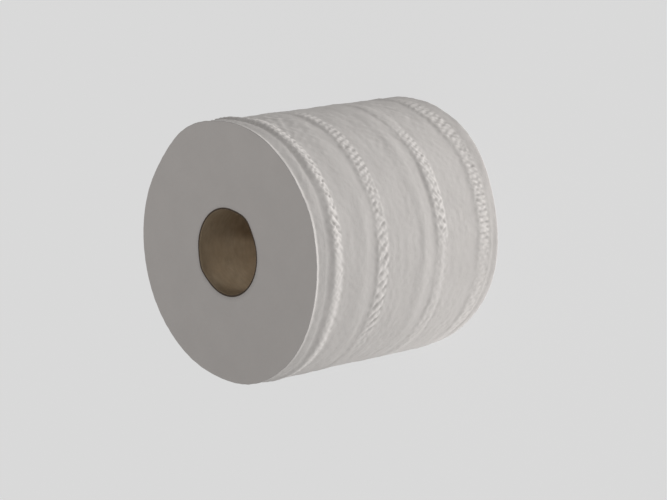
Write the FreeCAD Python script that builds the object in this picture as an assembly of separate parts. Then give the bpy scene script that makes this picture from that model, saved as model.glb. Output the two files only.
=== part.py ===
"""Centre pull paper towel roll: the wound towel web and its cardboard core.

The roll stands on one end. +Z runs up its axis, and the origin is the middle of the standing end.
"""

import FreeCAD, Part
import math
import os
from collections import namedtuple

Vector = FreeCAD.Vector

# Driving dimensions, in millimetres and degrees.

# The wound web
WEB_WIDTH = 175.0  # the towel's width, which is the length of the roll
SIDE_RADIUS = 92.4  # plain stretches of the side, between the crimped bands
RIM_ROUND = 1.2  # rounding where each end meets the side, in small turned bevels
RIM_BEVELS = 3

# The core
CORE_BORE_RADIUS = 30.4  # round part of the bore
CORE_WALL = 1.2
CORE_RECESS = 0.6  # how far each end of the core stands back from the web's end

# The core is squeezed out of round in two soft corners. Each has a direction round the axis, the
# angle either side of it where the round wall stops, and the radius of its bend on the bore side.
BROAD_CORNER_ANGLE = -51.7
BROAD_CORNER_SPREAD = 24.0
BROAD_CORNER_BEND = 14.0
TIGHT_CORNER_ANGLE = 104.3
TIGHT_CORNER_SPREAD = 20.0
TIGHT_CORNER_BEND = 11.0

# Crimped bands, which stand proud of the side
BOTTOM_BAND_RISE = 12.6  # standing end to the middle of the lowest band
TOP_BAND_DROP = 20.0  # upper end to the middle of the highest band
BAND_SPACING = 42.2  # middle of the lowest or highest band to the middle of the next one inwards
BOTTOM_BAND_WIDTH = 13.2
LOWER_BAND_WIDTH = 11.6
UPPER_BAND_WIDTH = 11.0
TOP_BAND_WIDTH = 7.6
BAND_CROWN = 0.5  # how far the grooves stand out from the side at a band's crown
CROWN_PLACE = 0.7  # where the crown lies, as a share of the band's width from its lower edge
BAND_EDGE_STEP = 0.2  # small step up from the side at a band's two edges

# Crimped ribs, which run slantwise across each band
RIB_PITCH = 6.5
RIB_DEPTH = 0.8
RIB_SLANT = 18.0  # lean from the axis direction

# Soft forms of the side above a band: a valley at its upper edge, then on two bands a low ring
VALLEY_WIDTH = 5.5
VALLEY_DEPTH = 0.5
TOP_VALLEY_DEPTH = 1.4
SOFT_RING_WIDTH = 15.0
SOFT_RING_CREST = 4.0
SOFT_RING_RISE = 0.5

Band = namedtuple("Band", "middle width valley_depth ring_rise")

BANDS = (
    Band(BOTTOM_BAND_RISE, BOTTOM_BAND_WIDTH, VALLEY_DEPTH, 0.0),
    Band(BOTTOM_BAND_RISE + BAND_SPACING, LOWER_BAND_WIDTH, VALLEY_DEPTH, SOFT_RING_RISE),
    Band(WEB_WIDTH - TOP_BAND_DROP - BAND_SPACING, UPPER_BAND_WIDTH, VALLEY_DEPTH, SOFT_RING_RISE),
    Band(WEB_WIDTH - TOP_BAND_DROP, TOP_BAND_WIDTH, TOP_VALLEY_DEPTH, 0.0),
)

# Ribs in one round of a band, in fours so that the roll stays balanced about its axis
RIB_COUNT = 4 * round(2 * math.pi * SIDE_RADIUS / RIB_PITCH / 4)


def lower_edge(band):
    return band.middle - band.width / 2


def upper_edge(band):
    return band.middle + band.width / 2


def polar(radius, degrees, height=0.0):
    angle = math.radians(degrees)
    return Vector(radius * math.cos(angle), radius * math.sin(angle), height)


# --- the side of the web ---------------------------------------------------------------------------


def rim_stations(end_height, inward):
    """Stations of the rounding at one end. inward is +1 at the standing end and -1 at the upper end."""
    stations = []
    for bevel in range(RIM_BEVELS + 1):
        angle = math.radians(90 * bevel / RIM_BEVELS)
        radius = SIDE_RADIUS - RIM_ROUND * (1 - math.sin(angle))
        height = end_height + inward * RIM_ROUND * (1 - math.cos(angle))
        stations.append((radius, height))
    return stations


def stations_above(band):
    """Stations of the valley at a band's upper edge and of the soft ring above it, if it has one."""
    height = upper_edge(band)
    stations = [(SIDE_RADIUS - band.valley_depth, height)]
    height += VALLEY_WIDTH
    stations.append((SIDE_RADIUS, height))
    if band.ring_rise:
        crest = SIDE_RADIUS + band.ring_rise
        middle = height + SOFT_RING_WIDTH / 2
        stations.append((crest, middle - SOFT_RING_CREST / 2))
        stations.append((crest, middle + SOFT_RING_CREST / 2))
        stations.append((SIDE_RADIUS, height + SOFT_RING_WIDTH))
    return stations


def turned_faces(stations):
    """Faces turned round the axis from a profile of (radius, height) stations."""
    profile = Part.makePolygon([Vector(radius, 0, height) for radius, height in stations])
    return profile.revolve(Vector(0, 0, 0), Vector(0, 0, 1), 360).Faces


def plain_stretches():
    """Turned faces of the side between the bands and out to both rims."""
    starts = [rim_stations(0, 1)] + [stations_above(band) for band in BANDS]
    ends = [[(SIDE_RADIUS, lower_edge(band))] for band in BANDS]
    ends.append(rim_stations(WEB_WIDTH, -1)[::-1])
    faces = []
    for start, end in zip(starts, ends):
        faces += turned_faces(start + end)
    return faces


def ribbed_outline(groove_radius, height, band):
    """Points of a band's outline at one height: a groove and a crest for each rib, closed at the end."""
    step = 360 / RIB_COUNT
    turn = rib_turn(height, band)
    points = []
    for rib in range(RIB_COUNT):
        points.append(polar(groove_radius, rib * step + turn, height))
        points.append(polar(groove_radius + RIB_DEPTH, (rib + 0.5) * step + turn, height))
    return points + points[:1]


def rib_turn(height, band):
    """How far the ribs have turned round the axis, in degrees, at a height in the band."""
    shift = (upper_edge(band) - height) * math.tan(math.radians(RIB_SLANT))
    return math.degrees(shift / SIDE_RADIUS)


def facets(lower, upper):
    """Flat triangular facets between two outlines with as many points."""
    faces = []
    for low, next_low, high, next_high in zip(lower, lower[1:], upper, upper[1:]):
        faces.append(Part.Face(Part.makePolygon([low, next_low, next_high, low])))
        faces.append(Part.Face(Part.makePolygon([low, next_high, high, low])))
    return faces


def shelf(outline, radius):
    """Flat ring between a band's edge outline and the side inside it."""
    circle = Part.makeCircle(radius, Vector(0, 0, outline[0].z))
    return Part.Face([Part.makePolygon(outline), Part.Wire(circle)])


def band_faces(band):
    """The slanting ribs of one crimped band, and the shelves that close it to the side."""
    crown_height = lower_edge(band) + CROWN_PLACE * band.width
    side_above = SIDE_RADIUS - band.valley_depth
    lower = ribbed_outline(SIDE_RADIUS + BAND_EDGE_STEP, lower_edge(band), band)
    crown = ribbed_outline(SIDE_RADIUS + BAND_CROWN, crown_height, band)
    upper = ribbed_outline(side_above + BAND_EDGE_STEP, upper_edge(band), band)
    shelves = [shelf(lower, SIDE_RADIUS), shelf(upper, side_above)]
    return facets(lower, crown) + facets(crown, upper) + shelves


# --- the core and its hole -------------------------------------------------------------------------


def corner_bend(angle, spread, bend, outset):
    """Three points of a soft corner's arc, on an outline that lies outset outside the bore."""
    centre = polar((CORE_BORE_RADIUS - bend) / math.cos(math.radians(spread)), angle)
    return [centre + polar(bend + outset, angle + side * spread) for side in (-1, 0, 1)]


def core_outline(outset, height):
    """Closed outline of the out-of-round core, at a distance outset outside its bore."""
    radius = CORE_BORE_RADIUS + outset
    corners = (
        (BROAD_CORNER_ANGLE, BROAD_CORNER_SPREAD, BROAD_CORNER_BEND),
        (TIGHT_CORNER_ANGLE, TIGHT_CORNER_SPREAD, TIGHT_CORNER_BEND),
    )
    edges = []
    for (angle, spread, bend), after in zip(corners, corners[1:] + corners[:1]):
        start, middle, end = corner_bend(angle, spread, bend, outset)
        round_from = angle + spread
        round_sweep = (after[0] - after[1] - round_from) % 360
        round_start = polar(radius, round_from)
        round_end = polar(radius, round_from + round_sweep)
        edges.append(Part.LineSegment(polar(radius, angle - spread), start).toShape())
        edges.append(Part.Arc(start, middle, end).toShape())
        edges.append(Part.LineSegment(end, round_start).toShape())
        round_middle = polar(radius, round_from + round_sweep / 2)
        edges.append(Part.Arc(round_start, round_middle, round_end).toShape())
    outline = Part.Wire(edges)
    outline.translate(Vector(0, 0, height))
    return outline


def end_face(height):
    """Flat end of the web, a ring between the rim's rounding and the core's hole."""
    rim = Part.Wire(Part.makeCircle(SIDE_RADIUS - RIM_ROUND, Vector(0, 0, height)))
    return Part.Face([rim, core_outline(CORE_WALL, height)])


# --- the two pieces --------------------------------------------------------------------------------


def make_paper_roll():
    faces = plain_stretches() + [end_face(0), end_face(WEB_WIDTH)]
    for band in BANDS:
        faces += band_faces(band)
    faces += core_outline(CORE_WALL, 0).extrude(Vector(0, 0, WEB_WIDTH)).Faces
    shell = Part.makeShell(faces)
    shell.sewShape()
    web = Part.makeSolid(shell)
    if web.Volume < 0:
        web.reverse()
    return web


def make_cardboard_core():
    ring = Part.Face([core_outline(CORE_WALL, CORE_RECESS), core_outline(0, CORE_RECESS)])
    return ring.extrude(Vector(0, 0, WEB_WIDTH - 2 * CORE_RECESS))


os.makedirs("parts", exist_ok=True)
make_paper_roll().exportStep("parts/paper_roll.step")
make_cardboard_core().exportStep("parts/cardboard_core.step")
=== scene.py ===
"""Looks of the centre pull paper towel roll: crimped towel web, cardboard core, floor, light and camera.

Blender works in metres. Relief is worked out in millimetres, from two coordinates of the side:
turn is the direction round the axis in degrees, 0 in the middle of the shown side and 90 towards +X;
drop is the distance below the upper end. The upper part of the shown side is the one towards +X.
"""

import math
from collections import namedtuple

import bpy
import numpy as np
from mathutils import Matrix, Vector


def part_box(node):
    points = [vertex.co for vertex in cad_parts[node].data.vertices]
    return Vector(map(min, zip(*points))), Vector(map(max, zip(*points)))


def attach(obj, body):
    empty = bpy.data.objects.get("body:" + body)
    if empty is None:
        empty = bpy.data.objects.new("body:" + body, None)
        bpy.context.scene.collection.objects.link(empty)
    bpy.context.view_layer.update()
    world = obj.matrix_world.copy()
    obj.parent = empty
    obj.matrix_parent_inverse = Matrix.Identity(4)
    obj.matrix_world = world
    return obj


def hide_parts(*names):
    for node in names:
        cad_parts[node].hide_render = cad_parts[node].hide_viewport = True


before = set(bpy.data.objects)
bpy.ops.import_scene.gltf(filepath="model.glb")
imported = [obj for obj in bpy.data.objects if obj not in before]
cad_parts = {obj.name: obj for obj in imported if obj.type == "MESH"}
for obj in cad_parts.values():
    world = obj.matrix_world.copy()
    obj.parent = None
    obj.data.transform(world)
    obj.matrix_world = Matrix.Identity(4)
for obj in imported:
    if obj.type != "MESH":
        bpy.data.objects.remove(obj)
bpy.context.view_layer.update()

MM = 0.001

# --- main sizes, in millimetres and degrees like all sizes and turns of the roll ------------------

WEB_LOW, WEB_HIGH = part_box("paper_roll")
WEB_WIDTH = (WEB_HIGH.z - WEB_LOW.z) / MM
SIDE_RADIUS = 92.6  # plain stretches of the side
RIM_ROUND = 0.6  # rounding between each end and the side
HOLE_REACH = 40.0  # the hole's outline lies inside this radius, the side outside it
END_SAG = 0.08  # how far the upper end lies below its rim and the edge of its hole
END_SAG_REACH = 1 / 6  # share of the way between rim and hole over which the sag comes in, from both
SHOWN_SIDE = -96.7  # direction round the axis of turn 0, in degrees from +X
HIDDEN_TURNS = (92, 112)  # the hidden side comes in between these turns, either way round

CORE_WALL = 1.2
CORE_DROP = 0.12  # the cut edge of the core below the web's end
CORE_GAP = 0.04  # between the core and the web
CORE_END_REACH = 3.0  # length at each end of the bore over which its relief comes in
SEAM_LEAD = 74.0  # how far the core's winding seam falls in one turn
SEAM_GROOVE = 0.14
SEAM_GROOVE_REACH = 0.9
SEAM_RIDGE = 0.05  # low ridge beside the groove
SEAM_RIDGE_REACH = 1.4
SEAM_RIDGE_PLACE = 2.2  # from the groove to the ridge

# --- layers of seeded noise -----------------------------------------------------------------------

# Height, wave lengths round the roll and along it, number of waves, and seed. A layer that only changes
# round the roll has 1 as the length along it. A band, a ring or a patch adds its own seed to a layer's.
Noise = namedtuple("Noise", "height around along count seed")

WAVE_SPREAD = (0.4, 1.6)  # shortest and longest wave of a layer, as shares of its wave length

RIPPLES = Noise(0.06, 90, 9, 26, 21)
MOTTLING = Noise(0.06, 9, 8, 40, 22)
WAVINESS = Noise(0.15, 290, 300, 5, 23)
WRINKLES = Noise(0.16, 44, 20, 16, 24)  # between WRINKLE_TURNS only
CRUMPLES = Noise(1.0, 11, 8, 40, 0)  # times the height of a patch
RING_STRAY = Noise(0.15, 120, 1, 5, 0)  # share of the front slope by which a ring's crest strays
PATCHES = Noise(1.0, 260, 1, 4, 0)  # crisp and faded stretches of the hidden side
PHASE_STRAY = Noise(0.35, 34, 1, 8, 7)  # how unevenly crimps are spaced, in radians of their phase
FRONT_STRAY = Noise(1.0, 48, 1, 5, 3)  # times a band's wander
SWELL = Noise(0.12, 70, 1, 6, 5)  # share of a band's height
CRIMP_STRENGTH = Noise(0.30, 11, 12, 10, 2)  # share of the crimps' depth
CREASES = Noise(1.0, 5.0, 5.5, 24, 8)  # times a band's rumple
END_WINDINGS = Noise(0.03, 260, 9, 16, 41)
END_WAVES = Noise(0.02, 90, 60, 16, 42)
CORE_DENTS = Noise(0.10, 190, 60, 12, 51)
CORE_RUMPLES = Noise(0.03, 40, 14, 16, 52)

PATCH_EDGE = (-0.3, 0.5)  # level of the PATCHES layer at which a stretch is faded, and fully crisp
WRINKLE_TURNS = (40, 125)
WRINKLE_BLUR = 20

# Seeds that a band adds to a layer's: its own, and one for each thing that comes and goes in patches
BAND_SEEDS = 10  # a band's own seed is this many times its drop
CRISP_SEED = 6
BRAID_SEED = 9
LIP_SEED = 31  # of the patches in which the rim's lip comes and goes

# --- crimped bands --------------------------------------------------------------------------------

# A crimped band runs round the roll. Its front is the edge nearer the upper end.
#   drop, width   drop of the front edge, and the distance from there to the rear edge
#   lead, hollow  length over which the side falls into the hollow before the band, and its depth
#   deeper        share by which the hollow is deeper on the upper part
#   flank, rise   length of the slope from the hollow to the front edge, and the crown's height
#   top           share of the width at which the crown starts to fall away
#   pitch, lean   of the crimps on the lower and on the upper part, with split as the turn between;
#                 lean is how far a crimp runs round for each millimetre across the band
#   cover         share of the width that staggered crimps cover, before a ridge at the rear
#   depth         of the hollows between crimps
#   braid         the turns between which neighbouring rows of crimps are staggered, and how fully
#   crisp, faded  the turns between which crimps are crisp, and the strength left outside them
#   wander        how far the front edge strays all round
#   rumple        height of uneven creases among the crimps
#    paleness painted highlight on the crown's rear slope
#   fade          share of the band's height that is lost where its crimps are faded
#   strays        where the front edge strays further: the turn, how far it reaches round, and how far
Band = namedtuple(
    "Band",
    "drop width lead hollow deeper flank rise top pitch lean split cover depth braid crisp faded wander "
    "rumple paleness fade strays",
)

BANDS = (
    Band(
        drop=15.3, width=9.8, lead=1.6, hollow=0.30, deeper=3.0, flank=4.8, rise=1.50, top=0.06,
        pitch=(7.6, 4.8), lean=(0.3, 0.3), split=24, cover=0.90, depth=0.6, braid=(8, 48, 1.0),
        crisp=(0, 80), faded=0.12, wander=0.3, rumple=0.24, paleness=0.80, fade=0.1,
        strays=((24, 9, 2.8), (42, 20, 1.6), (64, 14, -0.8), (-58, 16, 0.7)),
    ),
    Band(
        drop=57.2, width=11.0, lead=8.0, hollow=0.22, deeper=0.5, flank=3.6, rise=0.60, top=0.25,
        pitch=(8.2, 5.2), lean=(0.72, 0.40), split=6, cover=0.84, depth=0.78, braid=(9, 28, 0.55),
        crisp=(-44, 76), faded=0.06, wander=0.3, rumple=0.12, paleness=0.0, fade=0.2,
        strays=((30, 30, 0.8), (66, 24, 0.8)),
    ),
    Band(
        drop=115.2, width=11.0, lead=3.4, hollow=0.14, deeper=0.3, flank=3.2, rise=1.10, top=0.30,
        pitch=(6.6, 4.4), lean=(0.25, 0.50), split=30, cover=0.84, depth=0.62, braid=(-4, 29, 1.0),
        crisp=(-4, 48), faded=0.08, wander=0.4, rumple=0.14, paleness=0.2, fade=0.55,
        strays=((40, 16, 0.8),),
    ),
    Band(
        drop=156.8, width=10.2, lead=4.0, hollow=0.06, deeper=2.5, flank=4.0, rise=0.70, top=0.10,
        pitch=(3.9, 5.6), lean=(0.05, 0.40), split=27, cover=0.96, depth=0.60, braid=(28, 40, 0.7),
        crisp=(-8, 72), faded=0.16, wander=0.4, rumple=0.14, paleness=0.15, fade=0.35,
        strays=((62, 16, -2.0), (26, 24, 0.8)),
    ),
)

FOOT_STRAY = 0.4  # share of the front edge's strays that the hollow before it follows
SCALLOP = 0.55  # how far the crimps' ends stand out from a front edge
FRONT_ROUND = 0.8  # how far behind its front edge a band is still rising
UPPER_RISE = (-10, 60)  # turns between which the bands take on their form of the upper part
UPPER_END = (120, 150)  # turns between which they lose it again
UPPER_FLANK_LOSS = 0.38  # share by which the slope at a band's front is shorter there
UNDERSIDE = -78  # turn near which the bands are lower
UNDERSIDE_REACH = 24
UNDERSIDE_LOSS = 0.5  # share of their height that they lose there
REAR_HIGHLIGHT_SPAN = (0.62, 0.3)  # middle and reach of the painted highlight on a band's rear slope, as shares of its width

CRIMP_ROWS = 2  # rows of staggered crimps in a band
CRIMP_LEVEL = 0.45  # how far crimps stand above the band, as a share of their depth
CRIMP_BLUR = 7  # blur of a change along the crimps, from crisp to faded or from one pitch to the other
BRAID_BLUR = 5
PITCH_RETURN = (130, 170)  # turns between which pitch and lean go back to those of the lower part
PHASE_STEPS = 1440  # steps round the roll in which the crimps are counted
STRENGTH_LIMITS = (0.2, 1.8)
STROKE = (0.46, 0.56)  # middle and reach of a hollow that runs right across a band, as shares of its width
STROKE_FLATNESS = 6  # how even its depth stays until it ends
STROKE_NARROWNESS = 1.6
PIT_REACH = 0.50  # reach of a hollow in one row of staggered crimps, as a share of the row
PIT_FLATNESS = 4
CRIMP_START = (-0.06, 0.06)  # shares of the width between which crimps come in at the front
CRIMP_END = (0.82, 1.04)  # and between which they die away at the rear
FADED_CREASES = 0.2  # share of the creases that is left where crimps are faded
RIDGE_RISE = 1.3  # height of the rear ridge, times the share of the width that crimps leave uncovered
RIDGE_PLACE = 0.02  # how far behind the crimps the ridge stands, as a share of the width
RIDGE_REACH = 0.08

# --- rings, wide forms and rims -------------------------------------------------------------------

# Low rings of the plain stretches: drop of the crest, lengths of the front and the rear slope, rise,
# and where round the roll they are highest: turn and reach
RINGS = (
    (7.4, 2.7, 2.7, 0.34, 38, 28),
    (45.5, 7.0, 5.5, 0.60, 10, 80),
    (101.6, 2.6, 3.8, 0.55, -8, 24),
    (102.8, 5.0, 4.5, 0.45, 42, 16),
    (104.0, 8.0, 5.0, 0.50, 5, 52),
)
RING_REST = 0.25  # share of a ring's rise that it has all round

# Wide low forms of the side: turn and drop of the middle, reach in turn and in drop, rise
SIDE_FORMS = (
    (-80, 30, 24, 60, 1.4),
    (-80, 130, 24, 40, 0.5),
    (92, 70, 24, 90, -0.4),
    (42, 180, 30, 16, 5.4),
    (-22, 180, 24, 16, 2.2),
    (-58, 180, 16, 16, -1.2),
    (-77, 180, 12, 16, -1.0),
    (58, 180, 13, 16, -0.8),
    (101, 0, 15, 14, 1.3),
)

# Patches of fine crumples: turn and drop of the middle, reach in turn and in drop, height
CRUMPLED_PATCHES = (
    (72, 36, 26, 13, 0.20),
    (50, 92, 20, 14, 0.09),
    (66, 140, 24, 9, 0.13),
)

# Dents and bulges of the upper outline: turn, reach in turn, rise
RIM_FORMS = (
    (14, 9, 0.9),
    (88, 12, -0.6),
    (112, 11, 0.7),
    (136, 11, -0.9),
    (190, 34, 0.6),
    (254, 16, -0.8),
    (308, 16, 0.9),
    (342, 12, -0.4),
)
RIM_FORM_DROPS = (4.0, 55.0)  # drops between which they fade away down the side

# The upper rim stands proud as a thin lip before a shallow strip. The lip has gaps, each given by its
# turn and reach, and two ends.
LIP_RISE = 0.95  # above the strip
LIP_WIDTH = 3.4
LIP_CREST = 0.1  # drop at which the lip starts to fall away
LIP_REST = 0.5  # share of that rise that is left where the lip is weakest
LIP_GAPS = ((41, 9), (19, 7), (-36, 16))
LIP_GAP_LOSS = 0.7  # share of the lip's strength that a gap takes away
LIP_HIDDEN_STRENGTH = 0.7
LIP_ENDS = (-45, 66)
LIP_BLUR = 8
LIP_HIGHLIGHT = 1.0  # how strong the lip's painted highlight is, where 1 is full
LIP_HIGHLIGHT_START = 0.6  # share of the lip's width at which its painted highlight starts to fade
STRIP_WIDTH = 8.0

# Along part of the lower rim a crease runs round, and the pale paper turns in a little below it.
FOOT_TURNS = (-70, 14)
FOOT_BLUR = 10
FOOT_CREASE_DROP = 171.4  # at turn 0
FOOT_CREASE_RUN = 0.065  # how much closer to the rim the crease comes with each degree of turn
FOOT_CREASE_DEPTH = 0.8
FOOT_CREASE_REACH = 1.1
FOOT_TURN_IN = 0.4
FOOT_TURN_IN_SPAN = (0.8, 5.0)  # distances below the crease between which the paper turns in

# Painted shade darkens the lowest edge of the side along part of the rim.
LOWER_RIM_SHADE_TURNS = (47, 130)
LOWER_RIM_SHADE_BLUR = 8
LOWER_RIM_SHADE_WIDTH = 3.6
LOWER_RIM_SHADE_CORE = 0.4  # share of that width, next to the rim, that is fully dark
LOWER_RIM_SHADE_STRENGTH = 1.2

TONE_DEPTH = 0.6  # height of a crimp, or depth between crimps, at which its painted highlight or painted shade is full

# --- mesh density ---------------------------------------------------------------------------------

FINE_COLUMNS = 800
COARSE_COLUMNS = FINE_COLUMNS // 2
FINE_ROW = 0.9  # height of a row of faces, in a band
COARSE_ROW = 1.8  # and between bands
FINE_BEFORE = 2.4  # how far the fine rows reach before a band's front
FINE_BEHIND = 1.0  # and behind its rear
RIM_ROWS = 5
LIP_ROWS = 16
STRIP_FINE = 10.0  # drop down to which the rows are close together
TOP_RINGS = 16
BOTTOM_RINGS = 4
CORE_COLUMNS = 240
CORE_ROWS = 110

# --- colours, which are linear, and the shares that shade them ------------------------------------

PAPER_COLOUR = (0.516, 0.493, 0.475, 1.0)  # of the side
BLOTCH_SHADES = (0.965, 1.025)
SPECK_SHADE = 0.94
SPECK_STRENGTH = 0.35
PAINTED_SHADE_SHARE = 0.86  # painted shade in hollows, where the tone is 1
PAINTED_HIGHLIGHT_SHARE = 1.28  # painted highlight on raised paper, where the tone is -1
PAPER_END_COLOUR = (0.620, 0.585, 0.560, 1.0)
END_BLOTCH_SHADES = (0.98, 1.015)
END_PAINTED_SHADING = (0.96, 1.04)  # painted shading of the cut end, on its -X and on its +X side
END_SIDE_REACH = 90 * MM

CORE_COLOUR = (0.365, 0.285, 0.195, 1.0)
CORE_GRAIN_SHADES = (0.88, 1.10)
CORE_DARK_COLOUR = (0.26, 0.185, 0.112, 1.0)
CORE_CLOUD_STRENGTH = 0.5
BORE_PAINTED_LIGHT_SHARES = (1.24, 0.90)  # painted light, deep in the bore and at its upper mouth
BORE_PAINTED_LIGHT_REACH = 50 * MM  # depth over which the painted light darkens the board towards its mouth
# Dark cut edge of the core: the board's own darker edge, with painted shade of its slight recess
CUT_EDGE_AND_SHADE_COLOUR = (0.085, 0.062, 0.045, 1.0)

WHITE = (1.0, 1.0, 1.0, 1.0)
NOISE_MIDDLE = (0.3, 0.7)  # range of a noise texture that is spread over a whole mix
CLOUD_MIDDLE = (0.35, 0.65)
FLAT_FACING = (0.90, 0.98)  # upward part of the normal between which a face starts to count as an end

# --- stage, with places and lengths in metres and light levels where 1 is white -------------------

BACKDROP_LEVEL = 0.694
SKY_HORIZON = 0.465
SKY_ZENITH = 0.457
SKY_TILT = 0.065  # how much brighter the sky is towards -X than half way, and darker towards +X

FLOOR_REACH = 3.0
FLOOR_COLOUR = (0.6, 0.6, 0.6, 1.0)
FLOOR_FLAT_SHARE = 0.80  # share of the seen floor that is an even pale tone
FLOOR_FLAT_LEVEL = 0.80
FLOOR_GLOW = 1.50  # on the shown side
FLOOR_GLOW_BACK = 0.35  # share of the glow behind the roll
FLOOR_GLOW_FAR = 0.03  # share of the glow that is left outside its round edge
FLOOR_FRONT_LEAN = 0.59  # slope of the line between the front and the back of the floor
FLOOR_FRONT_BLUR = 0.05
FLOOR_GLOW_MIDDLE = (0.326, -0.472, 0.0)
FLOOR_GLOW_EDGE = (0.78, 0.84)

# Narrow lamp that lights the mouth of the bore
BORE_LAMP_PLACE = (0.48, -0.54, 1.26)
BORE_LAMP_AIM = (0.004, 0.003, 0.175)
BORE_BEAM_RADIUS = 25 * MM  # where the beam lands
BORE_LAMP_POWER = 25

# Camera, which looks along +Y and down
CAMERA_PLACE = (-0.01127, -1.4596, 1.3904)
CAMERA_ELEVATION = 42.0  # degrees above the level
CAMERA_ROLL = 100.0  # degrees from upright
CAMERA_LENS = 146.6  # millimetres, as is the sensor
CAMERA_SENSOR = 36.0


# --- small helpers --------------------------------------------------------------------------------


def ease(start, end, value):
    """0 at start, 1 at end and an S-curve between them, level outside. End may be the lower one."""
    part = np.clip((value - start) / (end - start), 0.0, 1.0)
    return part * part * (3.0 - 2.0 * part)


def between(limits, blur, turn):
    """1 between two turns and 0 outside them, with blurred ends."""
    start, end = limits
    return ease(start - blur, start + blur, turn) * (1 - ease(end - blur, end + blur, turn))


def blend(pair, share):
    """Value between the two of a pair."""
    return pair[0] + (pair[1] - pair[0]) * share


def wrap(turn):
    """The same direction between -180 and 180 degrees."""
    return (turn + 180.0) % 360.0 - 180.0


def hump(middle, reach, value):
    """Bell curve of height 1 at the middle."""
    off = (value - middle) / reach
    return np.exp(-off * off)


def plateau(middle, reach, flatness, value):
    """Bell curve of height 1 with a flatter top."""
    return np.exp(-((value - middle) / reach) ** flatness)


def no_relief(turn, drop):
    """A zero for each point."""
    return np.zeros(np.broadcast(turn, drop).shape)


def waves(layer, turn, drop=0.0, seed=0):
    """Smooth seeded noise of one layer."""
    random = np.random.default_rng(layer.seed + seed)
    angle = np.radians(turn)
    total = no_relief(turn, drop)
    turns = 2 * np.pi * SIDE_RADIUS / layer.around
    for _ in range(layer.count):
        cycles = max(1, round(turns * random.uniform(*WAVE_SPREAD)))
        rate = 2 * np.pi / layer.along * random.uniform(*WAVE_SPREAD) * random.choice((-1, 1))
        total += np.cos(cycles * angle + rate * drop + random.uniform(0, 2 * np.pi))
    return layer.height * (total / math.sqrt(layer.count / 2))


# --- relief of a crimped band ---------------------------------------------------------------------


def seed_of(band):
    return int(band.drop * BAND_SEEDS)


def hidden_patches(turn, seed):
    """Patches of the hidden side, from 0 to 1."""
    return ease(*HIDDEN_TURNS, np.abs(turn)) * ease(*PATCH_EDGE, waves(PATCHES, turn, seed=seed))


def crispness(band, turn):
    """Strength of a band's crimps. The hidden side has crisp and faded stretches of its own."""
    hidden = hidden_patches(turn, seed_of(band) + CRISP_SEED)
    return blend((band.faded, 1), np.maximum(between(band.crisp, CRIMP_BLUR, turn), hidden))


def braiding(band, turn):
    """How far neighbouring rows of a band's crimps are staggered, from 0 to 1."""
    start, end, fullness = band.braid
    hidden = hidden_patches(turn, seed_of(band) + BRAID_SEED)
    return np.maximum(between((start, end), BRAID_BLUR, turn), hidden) * fullness


def pitch_and_lean(band, turn):
    """Pitch and lean of a band's crimps, which change at the split and change back behind the roll."""
    after_split = ease(band.split - CRIMP_BLUR, band.split + CRIMP_BLUR, turn)
    upper = after_split * (1 - ease(*PITCH_RETURN, turn))
    return blend(band.pitch, upper), blend(band.lean, upper)


def crimp_phase(band, turn):
    """Phase of the crimps at the front edge, with a whole number of crimps round the roll."""
    grid = np.linspace(-180, 180, PHASE_STEPS + 1)
    pitch, _ = pitch_and_lean(band, grid)
    step = math.radians(grid[1] - grid[0]) * SIDE_RADIUS
    cycles = np.concatenate([[0], np.cumsum(step * 2 / (pitch[1:] + pitch[:-1]))])
    cycles *= round(cycles[-1]) / cycles[-1]
    return 2 * np.pi * np.interp(turn, grid, cycles) + waves(PHASE_STRAY, turn, seed=seed_of(band))


def band_front(band, turn, share):
    """Drop of a band's front edge, with a share of the distances it strays."""
    front = band.drop + band.wander * waves(FRONT_STRAY, turn, seed=seed_of(band))
    for middle, reach, distance in band.strays:
        front = front + share * distance * hump(middle, reach, turn)
    return front


def band_swell(band, turn):
    """Share of its height that a band has at a turn."""
    uneven = 1 + waves(SWELL, turn, seed=seed_of(band))
    kept = 1 - band.fade * (1 - crispness(band, turn))
    return uneven * kept * (1 - UNDERSIDE_LOSS * hump(UNDERSIDE, UNDERSIDE_REACH, turn))


def band_form(band, turn, drop, edge, front):
    """Hollow and crown of one band, without its crimps. The hollow follows edge and the crown front."""
    rear = band.drop + band.width
    upper = ease(*UPPER_RISE, turn) * (1 - ease(*UPPER_END, turn))
    foot = edge - band.flank * (1 - UPPER_FLANK_LOSS * upper)
    depth = band.hollow * (1 + band.deeper * upper)
    step = ease(0.0, 1.0, (drop - foot) / (front - foot + FRONT_ROUND))
    fall = ease(foot - band.lead, foot, drop)
    top_end = blend((front, rear), band.top)
    crown = step * (1 - ease(0.0, 1.0, (drop - top_end) / (rear - top_end)))
    return band_swell(band, turn) * (band.rise * crown - depth * fall * (1 - step))


def valley(phase):
    """1 in the middle of the hollow between two crimps, 0 on the crimps."""
    return (0.5 - 0.5 * np.cos(phase)) ** 2


def crimp_hollows(band, turn, share, phase):
    """Depth of the slanting hollows between crimps, 0 to 1. share runs across the band from 0 to 1."""
    pitch, lean = pitch_and_lean(band, turn)
    slanted = phase - 2 * np.pi * lean * share * band.width / pitch
    strokes = plateau(*STROKE, STROKE_FLATNESS, share) * valley(slanted) ** STROKE_NARROWNESS
    pits = no_relief(turn, share)
    for row in range(CRIMP_ROWS):
        middle = band.cover * (row + 0.5) / CRIMP_ROWS
        window = plateau(middle, PIT_REACH / CRIMP_ROWS, PIT_FLATNESS, share)
        pits = pits + window * valley(slanted + np.pi * row)
    return blend((strokes, pits), braiding(band, turn))


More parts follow.
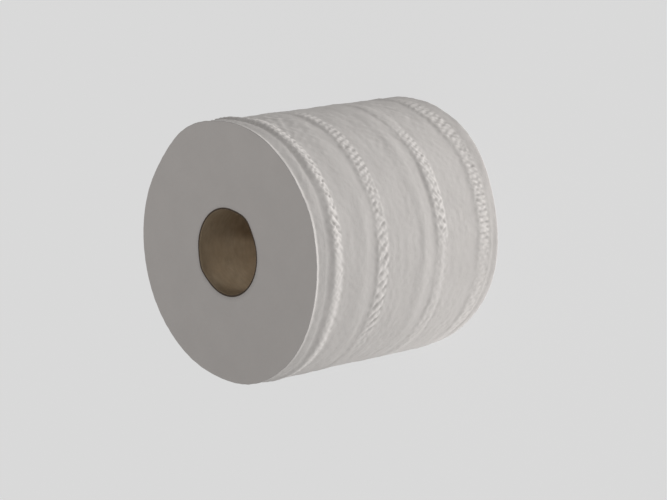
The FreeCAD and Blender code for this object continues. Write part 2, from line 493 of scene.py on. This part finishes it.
def crimp_form(band, turn, drop, front, phase):
    """Crimps, uneven creases and rear ridge of one band."""
    seed = seed_of(band)
    rear = band.drop + band.width
    share = (drop - front) / (rear - front)
    inside = ease(*CRIMP_START, share) * (1 - ease(*CRIMP_END, share))
    crisp = crispness(band, turn)
    strength = np.clip(1 + waves(CRIMP_STRENGTH, turn, drop, seed), *STRENGTH_LIMITS)
    crimps = band.depth * crisp * (CRIMP_LEVEL - strength * crimp_hollows(band, turn, share, phase))
    creases = band.rumple * blend((FADED_CREASES, 1), crisp) * waves(CREASES, turn, drop, seed)
    ridge = RIDGE_RISE * (1 - band.cover) * crisp * between(band.braid[:2], BRAID_BLUR, turn)
    return inside * (crimps + creases) + ridge * hump(band.cover + RIDGE_PLACE, RIDGE_REACH, share)


# --- relief of the whole side ---------------------------------------------------------------------


def ring_form(turn, drop):
    """Low rings of the plain stretches."""
    relief = no_relief(turn, drop)
    for crest, front, rear, rise, middle, reach in RINGS:
        behind = drop - crest - front * waves(RING_STRAY, turn, seed=int(crest))
        slope = np.where(behind < 0.0, hump(0.0, front, behind), hump(0.0, rear, behind))
        relief = relief + rise * slope * blend((RING_REST, 1), hump(middle, reach, turn))
    return relief


def wide_form(turn, drop):
    """Wide low forms of the side."""
    relief = no_relief(turn, drop)
    for middle, middle_drop, reach, drop_reach, rise in SIDE_FORMS:
        relief = relief + rise * hump(middle, reach, turn) * hump(middle_drop, drop_reach, drop)
    return relief


def uneven_form(turn, drop):
    """Ripples, mottling, wrinkles and waviness of the side."""
    wrinkled = between(WRINKLE_TURNS, WRINKLE_BLUR, turn)
    relief = waves(RIPPLES, turn, drop) + waves(MOTTLING, turn, drop)
    return relief + wrinkled * waves(WRINKLES, turn, drop) + waves(WAVINESS, turn, drop)


def crumple_form(turn, drop):
    """Fine crumples in patches of the plain stretches."""
    relief = no_relief(turn, drop)
    for middle, middle_drop, reach, drop_reach, height in CRUMPLED_PATCHES:
        patch = hump(middle, reach, turn) * hump(middle_drop, drop_reach, drop)
        relief = relief + height * patch * waves(CRUMPLES, turn, drop, seed=middle_drop)
    return relief


def outline_form(turn, drop):
    """Dents and bulges of the upper outline, which fade down the side."""
    relief = no_relief(turn, drop)
    for middle, reach, rise in RIM_FORMS:
        relief = relief + rise * hump(0.0, reach, wrap(turn - middle))
    return relief * (1 - ease(*RIM_FORM_DROPS, drop))


def lip_strength(turn):
    """Strength of the rim's lip, from 0 to 1: it has gaps, and it comes and goes at the back."""
    strength = between(LIP_ENDS, LIP_BLUR, turn)
    for middle, reach in LIP_GAPS:
        strength = strength * (1 - LIP_GAP_LOSS * hump(middle, reach, turn))
    return np.maximum(strength, LIP_HIDDEN_STRENGTH * hidden_patches(turn, LIP_SEED))


def rim_strip(turn, drop):
    """Shallow strip behind the rim's lip, which rises again towards the first band."""
    fall = ease(LIP_CREST, LIP_WIDTH, drop)
    rise = np.clip((drop - LIP_WIDTH) / STRIP_WIDTH, 0.0, 1.0)
    return -LIP_RISE * blend((LIP_REST, 1), lip_strength(turn)) * fall * (1 - rise)


def foot_form(turn, drop):
    """Crease and turned-in edge along part of the lower rim."""
    below = drop - FOOT_CREASE_DROP - FOOT_CREASE_RUN * turn
    crease = FOOT_CREASE_DEPTH * hump(0.0, FOOT_CREASE_REACH, below)
    turn_in = FOOT_TURN_IN * ease(*FOOT_TURN_IN_SPAN, below)
    return -between(FOOT_TURNS, FOOT_BLUR, turn) * (crease + turn_in)


def tone_of(turn, drop, crimped):
    """Painted highlight (-1) on raised paper and the lip, painted shade (1) in hollows and at the lower
    rim.
    """
    pale = no_relief(turn, drop)
    # Painted highlight on each crown's rear slope
    for band in BANDS:
        pale = pale + band.paleness * hump(*REAR_HIGHLIGHT_SPAN, (drop - band.drop) / band.width)
    # Painted highlight on the rim's lip
    lip_fade = ease(LIP_HIGHLIGHT_START * LIP_WIDTH, LIP_WIDTH, drop)
    pale = pale + LIP_HIGHLIGHT * lip_strength(turn) * (1 - lip_fade)
    # Painted shade along part of the lower rim
    edge = ease(LOWER_RIM_SHADE_WIDTH, LOWER_RIM_SHADE_CORE * LOWER_RIM_SHADE_WIDTH, WEB_WIDTH - drop)
    rim_shade = LOWER_RIM_SHADE_STRENGTH * between(LOWER_RIM_SHADE_TURNS, LOWER_RIM_SHADE_BLUR, turn) * edge
    return np.clip(rim_shade - crimped / TONE_DEPTH - pale, -1.0, 1.0)


def side(turn, drop):
    """Distance of the side from the axis in millimetres, and its tone of painted light."""
    radius = SIDE_RADIUS + ring_form(turn, drop) + wide_form(turn, drop) + uneven_form(turn, drop)
    radius = radius + outline_form(turn, drop) + rim_strip(turn, drop) + foot_form(turn, drop)
    crimped = crumple_form(turn, drop)
    for band in BANDS:
        phase = crimp_phase(band, turn)
        edge = band_front(band, turn, FOOT_STRAY)
        front = band_front(band, turn, 1.0) - SCALLOP * crispness(band, turn) * np.cos(phase)
        radius = radius + band_form(band, turn, drop, edge, front)
        crimped = crimped + crimp_form(band, turn, drop, front, phase)
    return radius + crimped, tone_of(turn, drop, crimped)


# --- meshes from rings of points ------------------------------------------------------------------


def ring(radius, angles, height):
    """Points of one closed ring, in metres, from a radius and a height in millimetres."""
    heights = np.broadcast_to(height, angles.shape)
    return np.stack([radius * np.cos(angles), radius * np.sin(angles), heights], axis=1) * MM


def even_angles(count):
    return np.arange(count) * 2 * np.pi / count


def turns_of(angles):
    return wrap(np.degrees(angles) - SHOWN_SIDE)


def bridge(first, first_count, second, second_count):
    """Faces between two rings. One ring may have twice as many points as the other."""
    if first_count == second_count:
        following = [(i + 1) % first_count for i in range(first_count)]
        return [(first + i, first + j, second + j, second + i) for i, j in enumerate(following)]
    faces = []
    from_fine = first_count > second_count
    coarse, fine = (second, first) if from_fine else (first, second)
    count = min(first_count, second_count)
    for i in range(count):
        j = (i + 1) % count
        left, middle, right = fine + 2 * i, fine + 2 * i + 1, fine + 2 * j
        made = [(coarse + i, middle, left), (coarse + i, coarse + j, middle), (coarse + j, right, middle)]
        faces += [face[::-1] for face in made] if from_fine else made
    return faces


def mesh_from_rings(name, rings):
    """Closed mesh object from a stack of rings whose last ring joins the first."""
    starts = np.cumsum([0] + [len(points) for points in rings])
    faces = []
    for here in range(len(rings)):
        there = (here + 1) % len(rings)
        faces += bridge(int(starts[here]), len(rings[here]), int(starts[there]), len(rings[there]))
    mesh = bpy.data.meshes.new(name)
    mesh.from_pydata(np.concatenate(rings).tolist(), [], faces)
    mesh.polygons.foreach_set("use_smooth", [True] * len(mesh.polygons))
    mesh.update()
    piece = bpy.data.objects.new(name, mesh)
    bpy.context.scene.collection.objects.link(piece)
    return piece


# --- towel web ------------------------------------------------------------------------------------


def hole_radius(angles):
    """Radius of the web's hole in millimetres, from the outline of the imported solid."""
    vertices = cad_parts["paper_roll"].data.vertices
    points = np.array([vertex.co for vertex in vertices]) / MM
    radii = np.hypot(points[:, 0], points[:, 1])
    inner = (radii < HOLE_REACH) & (points[:, 2] > WEB_WIDTH / 2)
    directions = np.arctan2(points[inner, 1], points[inner, 0])
    order = np.argsort(directions)
    return np.interp(angles, directions[order], radii[inner][order], period=2 * np.pi)


def coarse_drops(start, end):
    """Drops of coarse rows from start to end, with both of them."""
    steps = max(1, round((end - start) / COARSE_ROW))
    return np.linspace(start, end, steps + 1)


def row_drops():
    """Rows of the side between the rims, from the lower end to the upper, as (drop, fine) pairs."""
    rows = [(drop, False) for drop in np.linspace(RIM_ROUND, STRIP_FINE, LIP_ROWS)[:-1]]
    start = STRIP_FINE
    for band in BANDS:
        fine_start = band.drop - FINE_BEFORE
        fine_end = band.drop + band.width + FINE_BEHIND
        rows += [(drop, False) for drop in coarse_drops(start, fine_start)[:-1]]
        fine_steps = round((fine_end - fine_start) / FINE_ROW)
        rows += [(drop, True) for drop in np.linspace(fine_start, fine_end, fine_steps + 1)]
        start = fine_end + FINE_ROW
    rows += [(drop, False) for drop in coarse_drops(start, WEB_WIDTH - RIM_ROUND)]
    return rows[::-1]


def end_relief(angles, radius):
    """Slightly uneven windings of the cut end."""
    turn = turns_of(angles)
    return waves(END_WINDINGS, turn, radius) + waves(END_WAVES, turn, radius)


def web_rings():
    """Rings of the closed web: over the standing end, up the side, over the upper end, down the hole.

    The second result is the tone of each ring's points.
    """
    coarse = even_angles(COARSE_COLUMNS)
    fine = even_angles(FINE_COLUMNS)
    no_tone = np.zeros(COARSE_COLUMNS)
    hole = hole_radius(coarse)
    lower_rim = side(turns_of(coarse), WEB_WIDTH - RIM_ROUND)[0] - RIM_ROUND
    upper_rim = side(turns_of(coarse), RIM_ROUND)[0] - RIM_ROUND
    rings = []
    for share in np.linspace(0, 1, BOTTOM_RINGS + 1)[:-1]:
        rings.append((ring(blend((hole, lower_rim), share), coarse, 0.0), no_tone))
    for bend in np.linspace(0, np.pi / 2, RIM_ROWS)[:-1]:
        height = RIM_ROUND * (1 - np.cos(bend))
        rings.append((ring(lower_rim + RIM_ROUND * np.sin(bend), coarse, height), no_tone))
    for drop, is_fine in row_drops():
        angles = fine if is_fine else coarse
        radius, tone = side(turns_of(angles), drop)
        rings.append((ring(radius, angles, WEB_WIDTH - drop), tone))
    for bend in np.linspace(np.pi / 2, 0, RIM_ROWS)[1:]:
        height = WEB_WIDTH - RIM_ROUND * (1 - np.cos(bend))
        rings.append((ring(upper_rim + RIM_ROUND * np.sin(bend), coarse, height), no_tone))
    for share in np.linspace(1, 0, TOP_RINGS + 1)[1:]:
        radius = blend((hole, upper_rim), share)
        inside = min(1.0, share / END_SAG_REACH, (1 - share) / END_SAG_REACH)
        sag = inside * (END_SAG - end_relief(coarse, radius))
        rings.append((ring(radius, coarse, WEB_WIDTH - sag), no_tone))
    return zip(*rings)


def make_web():
    rings, tones = web_rings()
    piece = mesh_from_rings("towel_web", rings)
    attribute = piece.data.attributes.new("tone", "FLOAT", "POINT")
    attribute.data.foreach_set("value", np.concatenate(tones))
    return piece


# --- core -----------------------------------------------------------------------------------------


def bore_relief(angles, height, below_mouth, inner):
    """Winding seam and dents of the bore's wall at one height."""
    seam = wrap(np.degrees(angles) - below_mouth / SEAM_LEAD * 360)
    off_seam = np.radians(seam) * inner
    groove = SEAM_GROOVE * hump(0.0, SEAM_GROOVE_REACH, off_seam)
    ridge = SEAM_RIDGE * hump(SEAM_RIDGE_PLACE, SEAM_RIDGE_REACH, off_seam)
    turn = turns_of(angles)
    dents = waves(CORE_DENTS, turn, height) + waves(CORE_RUMPLES, turn, height)
    return groove - ridge + dents


def core_rings():
    """Rings of the closed tube: up its outer wall and down the bore."""
    angles = even_angles(CORE_COLUMNS)
    outer = hole_radius(angles) - CORE_GAP
    inner = outer - CORE_WALL
    middle = outer - CORE_WALL / 2
    low, high = CORE_DROP, WEB_WIDTH - CORE_DROP
    rings = [ring(outer, angles, low), ring(outer, angles, high), ring(middle, angles, high)]
    for height in np.linspace(high, low, CORE_ROWS):
        from_end = min(height - low, high - height)
        relief = bore_relief(angles, height, high - height, inner)
        rings.append(ring(inner + min(1.0, from_end / CORE_END_REACH) * relief, angles, height))
    rings.append(ring(middle, angles, low))
    return rings


# --- nodes of materials ---------------------------------------------------------------------------


def new_material(name):
    material = bpy.data.materials.new(name)
    material.use_nodes = True
    tree = material.node_tree
    return material, tree, tree.nodes["Principled BSDF"]


def set_input(tree, socket, value):
    """Links a socket, or sets its constant value."""
    if isinstance(value, bpy.types.NodeSocket):
        tree.links.new(value, socket)
    else:
        socket.default_value = value


def coordinate(tree, name="Object"):
    return tree.nodes.new("ShaderNodeTexCoord").outputs[name]


def part_of(tree, vector, axis):
    split = tree.nodes.new("ShaderNodeSeparateXYZ")
    tree.links.new(vector, split.inputs["Vector"])
    return split.outputs[axis]


def calculate(tree, operation, first, second):
    node = tree.nodes.new("ShaderNodeMath")
    node.operation = operation
    set_input(tree, node.inputs[0], first)
    set_input(tree, node.inputs[1], second)
    return node.outputs[0]


def noise_texture(tree, coordinates, scale, detail, stretch=(1, 1, 1)):
    """Noise texture with scale waves to the metre."""
    mapping = tree.nodes.new("ShaderNodeMapping")
    mapping.inputs["Scale"].default_value = stretch
    tree.links.new(coordinates, mapping.inputs["Vector"])
    node = tree.nodes.new("ShaderNodeTexNoise")
    node.inputs["Scale"].default_value = scale
    node.inputs["Detail"].default_value = detail
    tree.links.new(mapping.outputs["Vector"], node.inputs["Vector"])
    return node.outputs["Fac"]


def ramp(tree, value, limits, results=(0.0, 1.0)):
    """Straight ramp from one result to the other as a value goes from one limit to the other."""
    node = tree.nodes.new("ShaderNodeMapRange")
    node.inputs["From Min"].default_value = limits[0]
    node.inputs["From Max"].default_value = limits[1]
    node.inputs["To Min"].default_value = results[0]
    node.inputs["To Max"].default_value = results[1]
    tree.links.new(value, node.inputs["Value"])
    return node.outputs["Result"]


def mix_colour(tree, factor, first, second):
    mix = tree.nodes.new("ShaderNodeMix")
    mix.data_type = "RGBA"
    inputs = {socket.identifier: socket for socket in mix.inputs}
    outputs = {socket.identifier: socket for socket in mix.outputs}
    set_input(tree, inputs["Factor_Float"], factor)
    set_input(tree, inputs["A_Color"], first)
    set_input(tree, inputs["B_Color"], second)
    return outputs["Result_Color"]


def scale_colour(tree, colour, share):
    """The colour made lighter or darker by a share that changes from place to place."""
    node = tree.nodes.new("ShaderNodeVectorMath")
    node.operation = "SCALE"
    tree.links.new(colour, node.inputs[0])
    tree.links.new(share, node.inputs["Scale"])
    return node.outputs[0]


def bump(tree, height, strength, distance, normal=None):
    node = tree.nodes.new("ShaderNodeBump")
    node.inputs["Strength"].default_value = strength
    node.inputs["Distance"].default_value = distance
    tree.links.new(height, node.inputs["Height"])
    if normal is not None:
        tree.links.new(normal, node.inputs["Normal"])
    return node.outputs["Normal"]


def shade(colour, share):
    """The colour made lighter or darker by one share."""
    red, green, blue, alpha = colour
    return (red * share, green * share, blue * share, alpha)


def mix_shades(tree, factor, colour, shares):
    """Mix of two shades of a colour."""
    return mix_colour(tree, factor, shade(colour, shares[0]), shade(colour, shares[1]))


def facing_up(tree):
    """1 on a flat end that faces up, 0 on upright walls."""
    normal = tree.nodes.new("ShaderNodeNewGeometry").outputs["True Normal"]
    return ramp(tree, part_of(tree, normal, "Z"), FLAT_FACING)


def set_surface(shader, roughness, specular):
    shader.inputs["Roughness"].default_value = roughness
    shader.inputs["Specular IOR Level"].default_value = specular


# --- materials of the roll ------------------------------------------------------------------------


def side_paper(tree, coordinates, blotches):
    """Side colour: mottled and speckled, with painted shade in hollows and painted highlight on raised
    paper.
    """
    specks = ramp(tree, noise_texture(tree, coordinates, scale=260, detail=3), NOISE_MIDDLE)
    speck_share = calculate(tree, "MULTIPLY", specks, SPECK_STRENGTH)
    mottled = mix_shades(tree, blotches, PAPER_COLOUR, BLOTCH_SHADES)
    speckled = mix_colour(tree, speck_share, mottled, shade(PAPER_COLOUR, SPECK_SHADE))
    tone = tree.nodes.new("ShaderNodeAttribute")
    tone.attribute_name = "tone"
    # Painted shade in hollows and painted highlight on raised paper, read from the tone attribute
    sunk = ramp(tree, tone.outputs["Fac"], (0.0, 1.0))
    raised = ramp(tree, tone.outputs["Fac"], (0.0, -1.0))
    darkened = mix_colour(tree, sunk, speckled, shade(PAPER_COLOUR, PAINTED_SHADE_SHARE))
    return mix_colour(tree, raised, darkened, shade(PAPER_COLOUR, PAINTED_HIGHLIGHT_SHARE))


def end_paper(tree, coordinates, blotches):
    """Colour of the cut end, with painted shading that is a little darker on its -X side."""
    cut = mix_shades(tree, blotches, PAPER_END_COLOUR, END_BLOTCH_SHADES)
    # Painted shading across the end, darker towards -X
    sides = (-END_SIDE_REACH, END_SIDE_REACH)
    across = ramp(tree, part_of(tree, coordinates, "X"), sides, END_PAINTED_SHADING)
    return scale_colour(tree, cut, across)


def paper_material():
    """Soft matte towel paper, with ripples, soft grain and fibres as bump."""
    material, tree, shader = new_material("towel_paper")
    coordinates = coordinate(tree)
    blotches = ramp(tree, noise_texture(tree, coordinates, scale=45, detail=4), NOISE_MIDDLE)
    side_colour = side_paper(tree, coordinates, blotches)
    end_colour = end_paper(tree, coordinates, blotches)
    colour = mix_colour(tree, facing_up(tree), side_colour, end_colour)
    tree.links.new(colour, shader.inputs["Base Color"])
    set_surface(shader, roughness=0.95, specular=0.15)
    ripples = noise_texture(tree, coordinates, scale=72, detail=3, stretch=(1, 1, 1.4))
    grain = noise_texture(tree, coordinates, scale=230, detail=3)
    fibres = noise_texture(tree, coordinates, scale=1100, detail=4)
    rippled = bump(tree, ripples, strength=0.5, distance=1.3 * MM)
    grained = bump(tree, grain, strength=0.6, distance=0.6 * MM, normal=rippled)
    fibrous = bump(tree, fibres, strength=0.25, distance=0.12 * MM, normal=grained)
    tree.links.new(fibrous, shader.inputs["Normal"])
    return material


def core_material():
    """Brown board: soft fibres, clouds of darker brown, painted light deep in the bore, and a dark cut
    edge with painted shade.
    """
    material, tree, shader = new_material("core_board")
    coordinates = coordinate(tree)
    grain = noise_texture(tree, coordinates, scale=150, detail=5, stretch=(1, 1, 2.5))
    blotches = noise_texture(tree, coordinates, scale=42, detail=4)
    clouds = ramp(tree, blotches, CLOUD_MIDDLE, (0.0, CORE_CLOUD_STRENGTH))
    fibres = mix_shades(tree, ramp(tree, grain, NOISE_MIDDLE), CORE_COLOUR, CORE_GRAIN_SHADES)
    clouded = mix_colour(tree, clouds, fibres, CORE_DARK_COLOUR)
    # Painted light: the board is brighter deep in the bore and darker towards its mouth
    mouth = (WEB_HIGH.z - BORE_PAINTED_LIGHT_REACH, WEB_HIGH.z)
    bore_painted_light = ramp(tree, part_of(tree, coordinates, "Z"), mouth, BORE_PAINTED_LIGHT_SHARES)
    board = scale_colour(tree, clouded, bore_painted_light)
    # Cut edge: darker board with painted shade of its recess
    colour = mix_colour(tree, facing_up(tree), board, CUT_EDGE_AND_SHADE_COLOUR)
    tree.links.new(colour, shader.inputs["Base Color"])
    set_surface(shader, roughness=0.85, specular=0.2)
    tree.links.new(bump(tree, grain, strength=0.4, distance=0.3 * MM), shader.inputs["Normal"])
    return material


# --- stage ----------------------------------------------------------------------------------------


def seen_directly(tree):
    """1 for camera, mirror and glass rays, 0 for light that bounces."""
    path = tree.nodes.new("ShaderNodeLightPath")
    seen = calculate(tree, "MAXIMUM", path.outputs["Is Camera Ray"], path.outputs["Is Glossy Ray"])
    return calculate(tree, "MAXIMUM", seen, path.outputs["Is Transmission Ray"])


def mix_shaders(tree, factor, first, second):
    mix = tree.nodes.new("ShaderNodeMixShader")
    set_input(tree, mix.inputs[0], factor)
    tree.links.new(first, mix.inputs[1])
    tree.links.new(second, mix.inputs[2])
    return mix.outputs[0]


def emission(tree, strength, kind="ShaderNodeEmission"):
    node = tree.nodes.new(kind)
    node.inputs["Color"].default_value = WHITE
    set_input(tree, node.inputs["Strength"], strength)
    return node.outputs[0]


def floor_glow(tree):
    """Glow of the floor: stronger before the roll than behind it, and faint outside its round edge."""
    place = coordinate(tree)
    lean = calculate(tree, "MULTIPLY", part_of(tree, place, "X"), FLOOR_FRONT_LEAN)
    depth = calculate(tree, "ADD", part_of(tree, place, "Y"), lean)
    levels = (FLOOR_GLOW, FLOOR_GLOW * FLOOR_GLOW_BACK)
    front = ramp(tree, depth, (-FLOOR_FRONT_BLUR, FLOOR_FRONT_BLUR), levels)
    distance = tree.nodes.new("ShaderNodeVectorMath")
    distance.operation = "DISTANCE"
    tree.links.new(place, distance.inputs[0])
    distance.inputs[1].default_value = FLOOR_GLOW_MIDDLE
    near = ramp(tree, distance.outputs["Value"], FLOOR_GLOW_EDGE, (1.0, FLOOR_GLOW_FAR))
    return emission(tree, calculate(tree, "MULTIPLY", front, near))


def floor_material():
    """Lit table: it glows for light that bounces, and looks flat and pale with a soft shadow."""
    material, tree, shader = new_material("floor")
    shader.inputs["Base Color"].default_value = FLOOR_COLOUR
    set_surface(shader, roughness=1.0, specular=0.0)
    lit = tree.nodes.new("ShaderNodeAddShader")
    tree.links.new(shader.outputs[0], lit.inputs[0])
    tree.links.new(floor_glow(tree), lit.inputs[1])
    pale = mix_shaders(tree, FLOOR_FLAT_SHARE, shader.outputs[0], emission(tree, FLOOR_FLAT_LEVEL))
    shown = mix_shaders(tree, seen_directly(tree), lit.outputs[0], pale)
    tree.links.new(shown, tree.nodes["Material Output"].inputs["Surface"])
    return material


def make_floor():
    mesh = bpy.data.meshes.new("floor")
    signs = ((-1, -1), (1, -1), (1, 1), (-1, 1))
    corners = [(across * FLOOR_REACH, along * FLOOR_REACH, 0) for across, along in signs]
    mesh.from_pydata(corners, [], [(0, 1, 2, 3)])
    mesh.materials.append(floor_material())
    floor = bpy.data.objects.new("floor", mesh)
    bpy.context.scene.collection.objects.link(floor)


def make_world():
    """Soft sky, a little brighter near the horizon and towards -X. The camera sees an even backdrop."""
    world = bpy.data.worlds.new("studio")
    bpy.context.scene.world = world
    world.use_nodes = True
    tree = world.node_tree
    direction = coordinate(tree, "Generated")
    height = ramp(tree, part_of(tree, direction, "Z"), (0.0, 1.0), (SKY_HORIZON, SKY_ZENITH))
    tilt = ramp(tree, part_of(tree, direction, "X"), (-1.0, 1.0), (SKY_TILT, -SKY_TILT))
    sky = emission(tree, calculate(tree, "ADD", height, tilt), "ShaderNodeBackground")
    pale = emission(tree, BACKDROP_LEVEL, "ShaderNodeBackground")
    shown = mix_shaders(tree, seen_directly(tree), sky, pale)
    tree.links.new(shown, tree.nodes["World Output"].inputs["Surface"])


def make_bore_lamp():
    """Lamp with a narrow beam that lands in the mouth of the bore."""
    towards = Vector(BORE_LAMP_AIM) - Vector(BORE_LAMP_PLACE)
    data = bpy.data.lights.new("bore_lamp", "SPOT")
    data.energy = BORE_LAMP_POWER
    data.spot_size = 2 * math.atan(BORE_BEAM_RADIUS / towards.length)
    data.spot_blend = 0.4
    data.shadow_soft_size = 3 * MM
    lamp = bpy.data.objects.new("bore_lamp", data)
    lamp.location = BORE_LAMP_PLACE
    lamp.rotation_euler = towards.to_track_quat("-Z", "Y").to_euler()
    bpy.context.scene.collection.objects.link(lamp)


def make_camera():
    """Camera beside the roll and above it, turned so that the roll seems to lie down."""
    data = bpy.data.cameras.new("camera")
    data.lens = CAMERA_LENS
    data.sensor_width = CAMERA_SENSOR
    camera = bpy.data.objects.new("camera", data)
    elevation = math.radians(CAMERA_ELEVATION)
    roll = math.radians(CAMERA_ROLL)
    forward = Vector((0, math.cos(elevation), -math.sin(elevation)))
    level_right = Vector((1, 0, 0))
    level_up = level_right.cross(forward)
    up = level_up * math.cos(roll) + level_right * math.sin(roll)
    right = forward.cross(up)
    turn = Matrix((right, up, -forward)).transposed()
    camera.matrix_world = Matrix.Translation(CAMERA_PLACE) @ turn.to_4x4()
    bpy.context.scene.collection.objects.link(camera)
    bpy.context.scene.camera = camera


# --- build ----------------------------------------------------------------------------------------

make_camera()
make_world()
make_floor()
make_bore_lamp()

web = make_web()
web.data.materials.append(paper_material())
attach(web, "root")
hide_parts("paper_roll")

core_tube = mesh_from_rings("core_tube", core_rings())
core_tube.data.materials.append(core_material())
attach(core_tube, "root")
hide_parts("cardboard_core")

bpy.context.scene.view_settings.view_transform = "Standard"
